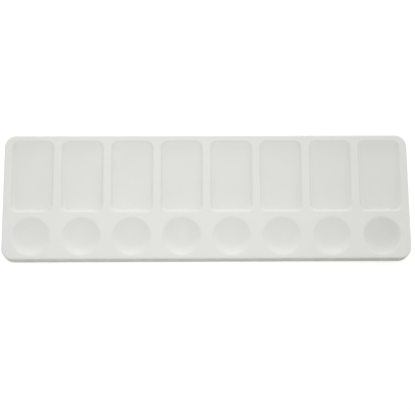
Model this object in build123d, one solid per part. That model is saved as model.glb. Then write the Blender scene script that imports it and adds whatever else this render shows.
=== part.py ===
from build123d import *
import math
import os

# A moulded paint palette: a shallow tray with a row of slanting rectangular wells
# behind a row of round dished wells. It is one plastic shell, open underneath.
# Millimetres. X runs along the rows, +Y is the side with the rectangular wells, Z is up.
# The origin is the middle of the rim that the tray stands on.

# Tray, measured at the rim that it stands on
TRAY_LENGTH = 320.0
TRAY_WIDTH = 100.5
TRAY_HEIGHT = 12.5
TRAY_CORNER_RADIUS = 9.5
SKIRT_DRAFT = 2.0
SKIRT_THICKNESS = 2.2
DECK_THICKNESS = 2.0
DECK_EDGE_RADIUS = 1.8
DECK_EDGE_INNER_RADIUS = 0.8
RIM_EDGE_RADIUS = 0.6

# Both rows of wells
WELL_COUNT = 8
WELL_PITCH = 39.15
WELL_WALL = 2.0

# Slanting rectangular wells, measured at the deck before the lip is rounded
SLANT_WELL_WIDTH = 33.0
SLANT_WELL_NEAR_Y = -12.1
SLANT_WELL_FAR_Y = 44.8
SLANT_WELL_CORNER_RADIUS = 5.4
SLANT_WELL_DRAFT = 20.0
SLANT_WELL_FAR_DEPTH = 1.8
SLANT_WELL_NEAR_DEPTH = 5.4
SLANT_WELL_FLOOR_FILLET = 1.3
SLANT_WELL_LIP_RADIUS = 1.2

# Round dished wells, measured at the deck before the lip is rounded
ROUND_WELL_RADIUS = 15.0
ROUND_WELL_DEPTH = 5.4
ROUND_WELL_Y = -31.7
ROUND_WELL_LIP_RADIUS = 1.8

# How far a cutting shape stands past the face that it cuts
CUT_CLEARANCE = 1.0


def sideways(height, draft):
    """Return how far a drafted wall moves sideways over a height."""
    return height * math.tan(math.radians(draft))


def rising_block(inset, z_bottom, z_top):
    """Make the tray's rounded block, set in from the skirt's outside, narrowing upwards."""
    set_in = inset + sideways(z_bottom, SKIRT_DRAFT)
    outline = RectangleRounded(
        TRAY_LENGTH - 2 * set_in,
        TRAY_WIDTH - 2 * set_in,
        TRAY_CORNER_RADIUS - set_in,
    )
    base = Plane.XY.offset(z_bottom) * outline
    return extrude(base, amount=z_top - z_bottom, taper=SKIRT_DRAFT)


def top_edges(solid):
    """Find the edges round a solid's highest face."""
    return solid.faces().sort_by(Axis.Z)[-1].edges()


def tray_shell():
    """Make the deck and its skirt, before the wells."""
    outside = rising_block(0, 0, TRAY_HEIGHT)
    outside = fillet(top_edges(outside), DECK_EDGE_RADIUS)
    inside = rising_block(SKIRT_THICKNESS, -CUT_CLEARANCE, TRAY_HEIGHT - DECK_THICKNESS)
    inside = fillet(top_edges(inside), DECK_EDGE_INNER_RADIUS)
    shell = outside - inside
    rim = shell.faces().sort_by(Axis.Z)[0]
    return fillet(rim.edges(), RIM_EDGE_RADIUS)


def slant_well(grow, z_top):
    """Make the space of a slanting well, grown all round, on the line x = 0."""
    spread = grow + sideways(z_top - TRAY_HEIGHT, SLANT_WELL_DRAFT)
    outline = RectangleRounded(
        SLANT_WELL_WIDTH + 2 * spread,
        SLANT_WELL_FAR_Y - SLANT_WELL_NEAR_Y + 2 * spread,
        SLANT_WELL_CORNER_RADIUS + spread,
    )
    middle_y = (SLANT_WELL_FAR_Y + SLANT_WELL_NEAR_Y) / 2
    downwards = Plane(origin=(0, middle_y, z_top), x_dir=(1, 0, 0), z_dir=(0, 0, -1))
    space = extrude(downwards * outline, amount=z_top, taper=SLANT_WELL_DRAFT)

    far_floor_z = TRAY_HEIGHT - SLANT_WELL_FAR_DEPTH - grow
    near_floor_z = TRAY_HEIGHT - SLANT_WELL_NEAR_DEPTH - grow
    slope = (far_floor_z - near_floor_z) / (SLANT_WELL_FAR_Y - SLANT_WELL_NEAR_Y)
    below_floor = Plane.YZ * Polygon(
        (SLANT_WELL_NEAR_Y - TRAY_WIDTH, near_floor_z - slope * TRAY_WIDTH),
        (SLANT_WELL_FAR_Y + TRAY_WIDTH, far_floor_z + slope * TRAY_WIDTH),
        (SLANT_WELL_FAR_Y + TRAY_WIDTH, -TRAY_WIDTH),
        (SLANT_WELL_NEAR_Y - TRAY_WIDTH, -TRAY_WIDTH),
        align=None,
    )
    space -= extrude(below_floor, amount=SLANT_WELL_WIDTH, both=True)
    floor = space.faces().sort_by(Axis.Z)[0]
    return fillet(floor.edges(), SLANT_WELL_FLOOR_FILLET + grow)


def round_well(grow, z_top):
    """Make the space of a round well, grown all round, on the line x = 0."""
    sphere_radius = (ROUND_WELL_RADIUS**2 + ROUND_WELL_DEPTH**2) / (2 * ROUND_WELL_DEPTH)
    sphere_z = TRAY_HEIGHT - ROUND_WELL_DEPTH + sphere_radius
    ball = Pos(0, ROUND_WELL_Y, sphere_z) * Sphere(sphere_radius + grow)
    above = Pos(0, ROUND_WELL_Y, z_top + sphere_radius) * Box(
        4 * sphere_radius, 4 * sphere_radius, 2 * sphere_radius
    )
    return ball - above


def cut_wells(tray, make_well, lip_radius):
    """Hang one row of wells in the deck, hollow them out and round their lips."""
    xs = [(column - (WELL_COUNT - 1) / 2) * WELL_PITCH for column in range(WELL_COUNT)]
    skin = make_well(WELL_WALL, TRAY_HEIGHT - DECK_THICKNESS / 2)
    space = make_well(0, TRAY_HEIGHT + CUT_CLEARANCE)
    tray += [Pos(x, 0, 0) * skin for x in xs]
    before = [wire.center() for wire in deck_holes(tray)]
    tray -= [Pos(x, 0, 0) * space for x in xs]
    new_lips = [wire for wire in deck_holes(tray) if wire.center() not in before]
    return fillet([edge for wire in new_lips for edge in wire.edges()], lip_radius)


def deck_holes(tray):
    """Find the outlines of the openings in the deck's top face."""
    return tray.faces().sort_by(Axis.Z)[-1].inner_wires()


os.makedirs("parts", exist_ok=True)
palette_tray = tray_shell()
palette_tray = cut_wells(palette_tray, slant_well, SLANT_WELL_LIP_RADIUS)
palette_tray = cut_wells(palette_tray, round_well, ROUND_WELL_LIP_RADIUS)
export_step(palette_tray, "parts/palette_tray.step")
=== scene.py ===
import math

import bpy
from mathutils import Matrix, Vector


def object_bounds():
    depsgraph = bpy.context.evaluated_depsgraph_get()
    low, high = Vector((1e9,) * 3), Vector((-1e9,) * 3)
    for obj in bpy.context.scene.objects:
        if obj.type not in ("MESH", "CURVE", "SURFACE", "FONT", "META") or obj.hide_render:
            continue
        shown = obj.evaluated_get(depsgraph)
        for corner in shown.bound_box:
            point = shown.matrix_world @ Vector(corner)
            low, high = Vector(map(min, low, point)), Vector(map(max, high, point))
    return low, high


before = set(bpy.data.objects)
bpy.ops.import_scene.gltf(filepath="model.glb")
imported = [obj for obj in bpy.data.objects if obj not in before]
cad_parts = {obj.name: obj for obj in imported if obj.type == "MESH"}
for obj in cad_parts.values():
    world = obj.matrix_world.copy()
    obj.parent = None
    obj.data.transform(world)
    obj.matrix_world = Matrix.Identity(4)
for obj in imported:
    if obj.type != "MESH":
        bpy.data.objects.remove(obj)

# The CAD model's box, in metres. The camera, the lights and the floor are placed from it.
CAD_LOW, CAD_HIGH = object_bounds()
DECK_CENTRE = Vector(((CAD_LOW.x + CAD_HIGH.x) / 2, (CAD_LOW.y + CAD_HIGH.y) / 2, CAD_HIGH.z))

# Camera: almost straight above, leaning back a little on the side of the round wells.
# Angles are in degrees and azimuth is measured from the -Y side.
CAMERA_ELEVATION = 78.0
CAMERA_AZIMUTH = -4.69
CAMERA_ROLL = 4.41
CAMERA_DISTANCE = 0.7804
CAMERA_LENS = 86.42
CAMERA_SENSOR = 36.0
CAMERA_AIM = Vector((0.00064, -0.00911, 0.0))

# Soft panels: azimuth from the +Y side, elevation, distance, width, height, power in watts
PANELS = {
    "low_back_strip": (0.0, 14.0, 0.90, 0.90, 0.20, 1.40),
    "horizon_strip": (0.0, 6.5, 0.90, 0.90, 0.12, 0.49),
    "left_card": (-90.0, 35.0, 0.90, 0.50, 0.50, 0.25),
    "right_card": (90.0, 35.0, 0.90, 0.50, 0.50, 0.41),
}

# One soft beam from straight above, a little left of the middle, fading towards both ends
BEAM_OFFSET = Vector((-0.038, 0.0, 1.19))
BEAM_RADIUS = 0.28
BEAM_LAMP_RADIUS = 0.15
BEAM_POWER = 8.64

# Sky and floor
WHITE = (1.0, 1.0, 1.0, 1.0)
SKY_STRENGTH = 0.60
FLOOR_SIZE = 6.0
FLOOR_COLOUR = (0.93, 0.93, 0.93, 1.0)
FLOOR_ROUGHNESS = 0.9
FLOOR_GLOW = 0.40

# Plastic: off-white with a trace of yellow-green, then the colours painted on it as shade on the
# skirt and in the wells, and as light on the well walls
PLASTIC_LIGHT = (0.930, 0.936, 0.898, 1.0)
PLASTIC_DARK = (0.905, 0.910, 0.868, 1.0)
SKIRT_SHADE_COLOUR = (0.47, 0.47, 0.435, 1.0)
WELL_SHADE_COLOUR = (0.70, 0.70, 0.67, 1.0)
WALL_LIGHT_COLOUR = (0.972, 0.975, 0.945, 1.0)
PLASTIC_IOR = 1.49

# How much of the clouds and of the specks shows in the colour
CLOUD_SHARE = 0.75
SPECK_SHARE = 0.25

# How strongly each painted shade or painted light shows, and how much its patches vary
SHADE_ON_FLOORS = 0.12
SHADE_IN_LAST_DISH = 0.25
WELL_SHADE_PATCHES = (0.85, 1.1)
LIGHT_ON_WALLS = 0.9
SKIRT_SHADE_AT_SIDES = 0.35
SKIRT_SHADE_IN_MIDDLE = 0.85
SKIRT_SHADE_PATCHES = (0.85, 1.0)

# Where the painted shade and painted light fade in or out, in metres
CORNER_RADIUS = 0.0095
SKIRT_FADE = (CORNER_RADIUS - 0.0013, CORNER_RADIUS - 0.0003)
WELL_TO_DECK = (0.0114, 0.0123)
FRONT_TO_BACK_ROW = (-0.016, -0.014)
TO_LAST_DISH = (0.105, 0.125)
MIDDLE_TO_RIGHT = (0.0, 0.15)

# The part of the normal that points up or back, from one kind of surface to the next
WALL_TO_FLOOR = (0.85, 0.98)
FAR_WALL_TO_REST = (-0.8, -0.3)
FRONT_TO_SIDES = (-0.6, -0.1)

# Noise: scale and detail, and the range of values that is used
CLOUD_SCALE = 38.0
SPECK_SCALE = 900.0
SHADE_NOISE_SCALE = 120.0
GLOSS_SCALE = 70.0
RIPPLE_SCALE = 260.0
GRAIN_SCALE = 2600.0
PATCH_DETAIL = 3.0
FINE_DETAIL = 2.0
NOISE_ROUGHNESS = 0.55
NOISE_RANGE = (0.3, 0.7)
SHADE_NOISE_RANGE = (0.3, 0.6)

# Scratches: directions in radians, length to width, and how rare they are
SCRATCH_TURNS = (0.5, -0.9)
SCRATCH_STRETCH = 40.0
SCRATCH_SCALE = 45.0
SCRATCH_RANGE = (0.66, 0.74)

# Gloss: roughness range, what scratches and the painted skirt shade add, and specular level off
# and on the painted skirt shade
ROUGHNESS_RANGE = (0.42, 0.54)
SCRATCH_ROUGHNESS = 0.10
SKIRT_SHADE_ROUGHNESS = 0.35
SPECULAR_PLAIN = 0.5
SPECULAR_ON_SKIRT_SHADE = 0.1

# Bumps: strength, and height in metres
RIPPLE_BUMP = (0.12, 0.0004)
GRAIN_BUMP = (0.18, 0.00006)
SCRATCH_BUMP = (0.15, 0.00003)


class Graph:
    """A material's node tree, with short ways to add and link nodes."""

    def __init__(self, name):
        self.material = bpy.data.materials.new(name)
        self.material.use_nodes = True
        self.tree = self.material.node_tree
        self.shader = self.tree.nodes["Principled BSDF"]

    def add(self, kind, inputs=None, **settings):
        """Add a node, set its properties, and set or link its inputs."""
        node = self.tree.nodes.new(kind)
        for key, value in settings.items():
            setattr(node, key, value)
        for key, value in (inputs or {}).items():
            self.feed(node.inputs[key], value)
        return node

    def feed(self, socket, value):
        """Link an output to a socket, or set the socket to a plain value."""
        if isinstance(value, bpy.types.NodeSocket):
            self.tree.links.new(value, socket)
        else:
            socket.default_value = value

    def separate(self, vector):
        """The X, Y and Z of a vector, by name."""
        return self.add("ShaderNodeSeparateXYZ", {"Vector": vector}).outputs

    def noise(self, where, scale, detail=PATCH_DETAIL):
        inputs = {"Vector": where, "Scale": scale, "Detail": detail, "Roughness": NOISE_ROUGHNESS}
        return self.add("ShaderNodeTexNoise", inputs).outputs["Fac"]

    def remap(self, value, from_low, from_high, to_low=0.0, to_high=1.0):
        """Map a range of values to another one, and hold it at both ends."""
        inputs = {
            "Value": value,
            "From Min": from_low,
            "From Max": from_high,
            "To Min": to_low,
            "To Max": to_high,
        }
        return self.add("ShaderNodeMapRange", inputs).outputs["Result"]

    def math(self, operation, first, second=0.0):
        node = self.add("ShaderNodeMath", operation=operation)
        self.feed(node.inputs[0], first)
        self.feed(node.inputs[1], second)
        return node.outputs[0]

    def vector(self, operation, first, second=(0.0, 0.0, 0.0)):
        node = self.add("ShaderNodeVectorMath", operation=operation)
        self.feed(node.inputs[0], first)
        self.feed(node.inputs[1], second)
        return node.outputs["Vector"]

    def length(self, vector):
        node = self.add("ShaderNodeVectorMath", {0: vector}, operation="LENGTH")
        return node.outputs["Value"]

    def mix(self, factor, first, second):
        node = self.add("ShaderNodeMix", data_type="RGBA")
        self.feed(node.inputs["Factor"], factor)
        self.feed(node.inputs["A"], first)
        self.feed(node.inputs["B"], second)
        return node.outputs["Result"]

    def bump(self, height, strength, distance, normal=None):
        inputs = {"Height": height, "Strength": strength, "Distance": distance}
        if normal is not None:
            inputs["Normal"] = normal
        return self.add("ShaderNodeBump", inputs).outputs["Normal"]


def add_moulding_tone(graph, where):
    """Cloudy colour of the moulding, with a few fine specks."""
    clouds = graph.remap(graph.noise(where, CLOUD_SCALE), *NOISE_RANGE, 0.0, CLOUD_SHARE)
    specks = graph.noise(where, SPECK_SCALE, FINE_DETAIL)
    specks = graph.remap(specks, *NOISE_RANGE, 0.0, SPECK_SHARE)
    return graph.mix(graph.math("ADD", clouds, specks), PLASTIC_DARK, PLASTIC_LIGHT)


def add_well_shade_and_light(graph, colour, place, facing, shade_noise):
    """Painted shade on the slanting floors and in the rightmost dish, and painted light on the
    walls above the upper ends of the floors.
    """
    below_deck = graph.remap(place["Z"], *WELL_TO_DECK, 1.0, 0.0)
    in_back_row = graph.remap(place["Y"], *FRONT_TO_BACK_ROW)
    in_front_row = graph.math("SUBTRACT", 1.0, in_back_row)

    # Painted shade: the slanting floors and the rightmost dish are painted a little darker
    on_floor = graph.remap(facing["Z"], *WALL_TO_FLOOR, 0.0, SHADE_ON_FLOORS)
    on_floor = graph.math("MULTIPLY", in_back_row, on_floor)
    in_dish = graph.remap(place["X"], *TO_LAST_DISH, 0.0, SHADE_IN_LAST_DISH)
    in_dish = graph.math("MULTIPLY", in_dish, in_front_row)
    well_shade = graph.math("MULTIPLY", below_deck, graph.math("ADD", on_floor, in_dish))
    well_shade = graph.math("MULTIPLY", well_shade, graph.remap(shade_noise, *SHADE_NOISE_RANGE, *WELL_SHADE_PATCHES))
    colour = graph.mix(well_shade, colour, WELL_SHADE_COLOUR)

    # Painted light: the walls at the upper ends of the slanting floors are painted paler,
    # standing in for light that shines through the thin walls
    on_wall = graph.remap(facing["Y"], *FAR_WALL_TO_REST, LIGHT_ON_WALLS, 0.0)
    on_wall = graph.math("MULTIPLY", in_back_row, on_wall)
    return graph.mix(graph.math("MULTIPLY", below_deck, on_wall), colour, WALL_LIGHT_COLOUR)


def find_painted_skirt_shade(graph, where, place, facing, shade_noise):
    """Painted shade on the skirt: darkest in front and to the right."""
    corner_centre = (CAD_HIGH.x - CORNER_RADIUS, CAD_HIGH.y - CORNER_RADIUS, 0.0)
    outwards = graph.vector("ABSOLUTE", graph.vector("MULTIPLY", where, (1.0, 1.0, 0.0)))
    outwards = graph.vector("SUBTRACT", outwards, corner_centre)
    outwards = graph.vector("MAXIMUM", outwards, (0.0, 0.0, 0.0))
    on_skirt = graph.remap(graph.length(outwards), *SKIRT_FADE)
    in_front = graph.remap(facing["Y"], *FRONT_TO_SIDES, 1.0, SKIRT_SHADE_AT_SIDES)
    to_right = graph.remap(place["X"], *MIDDLE_TO_RIGHT, SKIRT_SHADE_IN_MIDDLE, 1.0)
    skirt_shade = graph.math("MULTIPLY", graph.math("MULTIPLY", on_skirt, in_front), to_right)
    return graph.math("MULTIPLY", skirt_shade, graph.remap(shade_noise, *SHADE_NOISE_RANGE, *SKIRT_SHADE_PATCHES))


def find_scratches(graph, where):
    """Fine scratches from brushes and wiping, in two directions."""
    scratches = 0.0
    for turn in SCRATCH_TURNS:
        turned = graph.add("ShaderNodeMapping", {"Vector": where, "Rotation": (0.0, 0.0, turn)})
        stretch = {"Vector": turned.outputs["Vector"], "Scale": (1.0, SCRATCH_STRETCH, 1.0)}
        stretched = graph.add("ShaderNodeMapping", stretch).outputs["Vector"]
        lines = graph.noise(stretched, SCRATCH_SCALE, FINE_DETAIL)
        scratches = graph.math("MAXIMUM", scratches, graph.remap(lines, *SCRATCH_RANGE))
    return scratches


def moulded_plastic():
    """Off-white moulded plastic with a satin skin, painted shade and painted light in the wells,
    and painted shade on the skirt.
    """
    graph = Graph("moulded_white_plastic")
    where = graph.add("ShaderNodeTexCoord").outputs["Object"]
    place = graph.separate(where)
    facing = graph.separate(graph.add("ShaderNodeNewGeometry").outputs["Normal"])
    # Noise that varies the painted shade in patches
    shade_noise = graph.noise(where, SHADE_NOISE_SCALE)
    # Where the skirt is painted with shade
    skirt_shade = find_painted_skirt_shade(graph, where, place, facing, shade_noise)
    scratches = find_scratches(graph, where)

    colour = add_moulding_tone(graph, where)
    # Painted shade and painted light in the wells
    colour = add_well_shade_and_light(graph, colour, place, facing, shade_noise)
    # Painted shade darkens the skirt
    graph.feed(graph.shader.inputs["Base Color"], graph.mix(skirt_shade, colour, SKIRT_SHADE_COLOUR))

    # Gloss changes gently over the surface, and is duller in scratches and in the painted skirt
    # shade
    gloss = graph.remap(graph.noise(where, GLOSS_SCALE), *NOISE_RANGE, *ROUGHNESS_RANGE)
    gloss = graph.math("ADD", gloss, graph.math("MULTIPLY", scratches, SCRATCH_ROUGHNESS))
    gloss = graph.math("ADD", gloss, graph.math("MULTIPLY", skirt_shade, SKIRT_SHADE_ROUGHNESS))
    specular = graph.remap(skirt_shade, 0.0, 1.0, SPECULAR_PLAIN, SPECULAR_ON_SKIRT_SHADE)
    graph.feed(graph.shader.inputs["Roughness"], gloss)
    graph.feed(graph.shader.inputs["Specular IOR Level"], specular)
    graph.shader.inputs["IOR"].default_value = PLASTIC_IOR

    # Slow ripples of the moulding, grain of the mould, and the scratches
    normal = graph.bump(graph.noise(where, RIPPLE_SCALE), *RIPPLE_BUMP)
    normal = graph.bump(graph.noise(where, GRAIN_SCALE, FINE_DETAIL), *GRAIN_BUMP, normal)
    normal = graph.bump(graph.math("SUBTRACT", 1.0, scratches), *SCRATCH_BUMP, normal)
    graph.feed(graph.shader.inputs["Normal"], normal)
    return graph.material


def pale_floor_material():
    """White studio paper, lifted a little so that it stays white around the tray."""
    graph = Graph("pale_floor")
    graph.shader.inputs["Base Color"].default_value = FLOOR_COLOUR
    graph.shader.inputs["Roughness"].default_value = FLOOR_ROUGHNESS
    graph.shader.inputs["Specular IOR Level"].default_value = 0.0
    graph.shader.inputs["Emission Color"].default_value = WHITE
    graph.shader.inputs["Emission Strength"].default_value = FLOOR_GLOW
    return graph.material


def add_floor():
    """A plain pale floor under the tray."""
    bpy.ops.mesh.primitive_plane_add(size=FLOOR_SIZE, location=(0, 0, CAD_LOW.z))
    floor = bpy.context.object
    floor.name = "floor"
    floor.data.materials.append(pale_floor_material())


def direction(azimuth, elevation):
    """Turn an azimuth from the +Y side and an elevation into a unit vector."""
    across = math.radians(azimuth)
    upwards = math.radians(elevation)
    return Vector(
        (
            math.sin(across) * math.cos(upwards),
            math.cos(across) * math.cos(upwards),
            math.sin(upwards),
        )
    )


def aim(thing, target, roll=0.0):
    """Turn a camera or light so that its -Z points at the target."""
    turn = (target - thing.location).to_track_quat("-Z", "Y").to_matrix()
    thing.rotation_euler = (turn @ Matrix.Rotation(math.radians(roll), 3, "Z")).to_euler()


def place_in_scene(name, data, location):
    """Make an object of camera or light data, and put it in the scene."""
    thing = bpy.data.objects.new(name, data)
    bpy.context.scene.collection.objects.link(thing)
    thing.location = location
    return thing


def add_camera():
    """Look at the deck from the chosen side."""
    data = bpy.data.cameras.new("camera")
    data.lens = CAMERA_LENS
    data.sensor_width = CAMERA_SENSOR
    target = DECK_CENTRE + CAMERA_AIM
    towards_camera = direction(180.0 - CAMERA_AZIMUTH, CAMERA_ELEVATION)
    camera = place_in_scene("camera", data, target + towards_camera * CAMERA_DISTANCE)
    aim(camera, target, CAMERA_ROLL)
    bpy.context.scene.camera = camera


def add_panel(name, azimuth, elevation, distance, width, height, power):
    """A soft rectangular light that faces the middle of the deck."""
    data = bpy.data.lights.new(name, "AREA")
    data.shape = "RECTANGLE"
    data.size = width
    data.size_y = height
    data.energy = power
    location = DECK_CENTRE + direction(azimuth, elevation) * distance
    aim(place_in_scene(name, data, location), DECK_CENTRE)


def add_beam():
    """A lamp straight above whose light fades from the middle of its spot outwards."""
    data = bpy.data.lights.new("overhead_beam", "SPOT")
    data.energy = BEAM_POWER
    data.spot_size = 2 * math.atan(BEAM_RADIUS / BEAM_OFFSET.z)
    data.spot_blend = 1.0
    data.shadow_soft_size = BEAM_LAMP_RADIUS
    place_in_scene("overhead_beam", data, DECK_CENTRE + BEAM_OFFSET)


def add_sky():
    """Even white light from all round, as in a light tent."""
    world = bpy.data.worlds.new("light_tent")
    world.use_nodes = True
    background = world.node_tree.nodes["Background"]
    background.inputs["Color"].default_value = WHITE
    background.inputs["Strength"].default_value = SKY_STRENGTH
    bpy.context.scene.world = world


plastic = moulded_plastic()
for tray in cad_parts.values():
    tray.data.materials.clear()
    tray.data.materials.append(plastic)

add_floor()
add_camera()
add_sky()
add_beam()
for panel_name, placing in PANELS.items():
    add_panel(panel_name, *placing)

bpy.context.scene.view_settings.view_transform = "Standard"
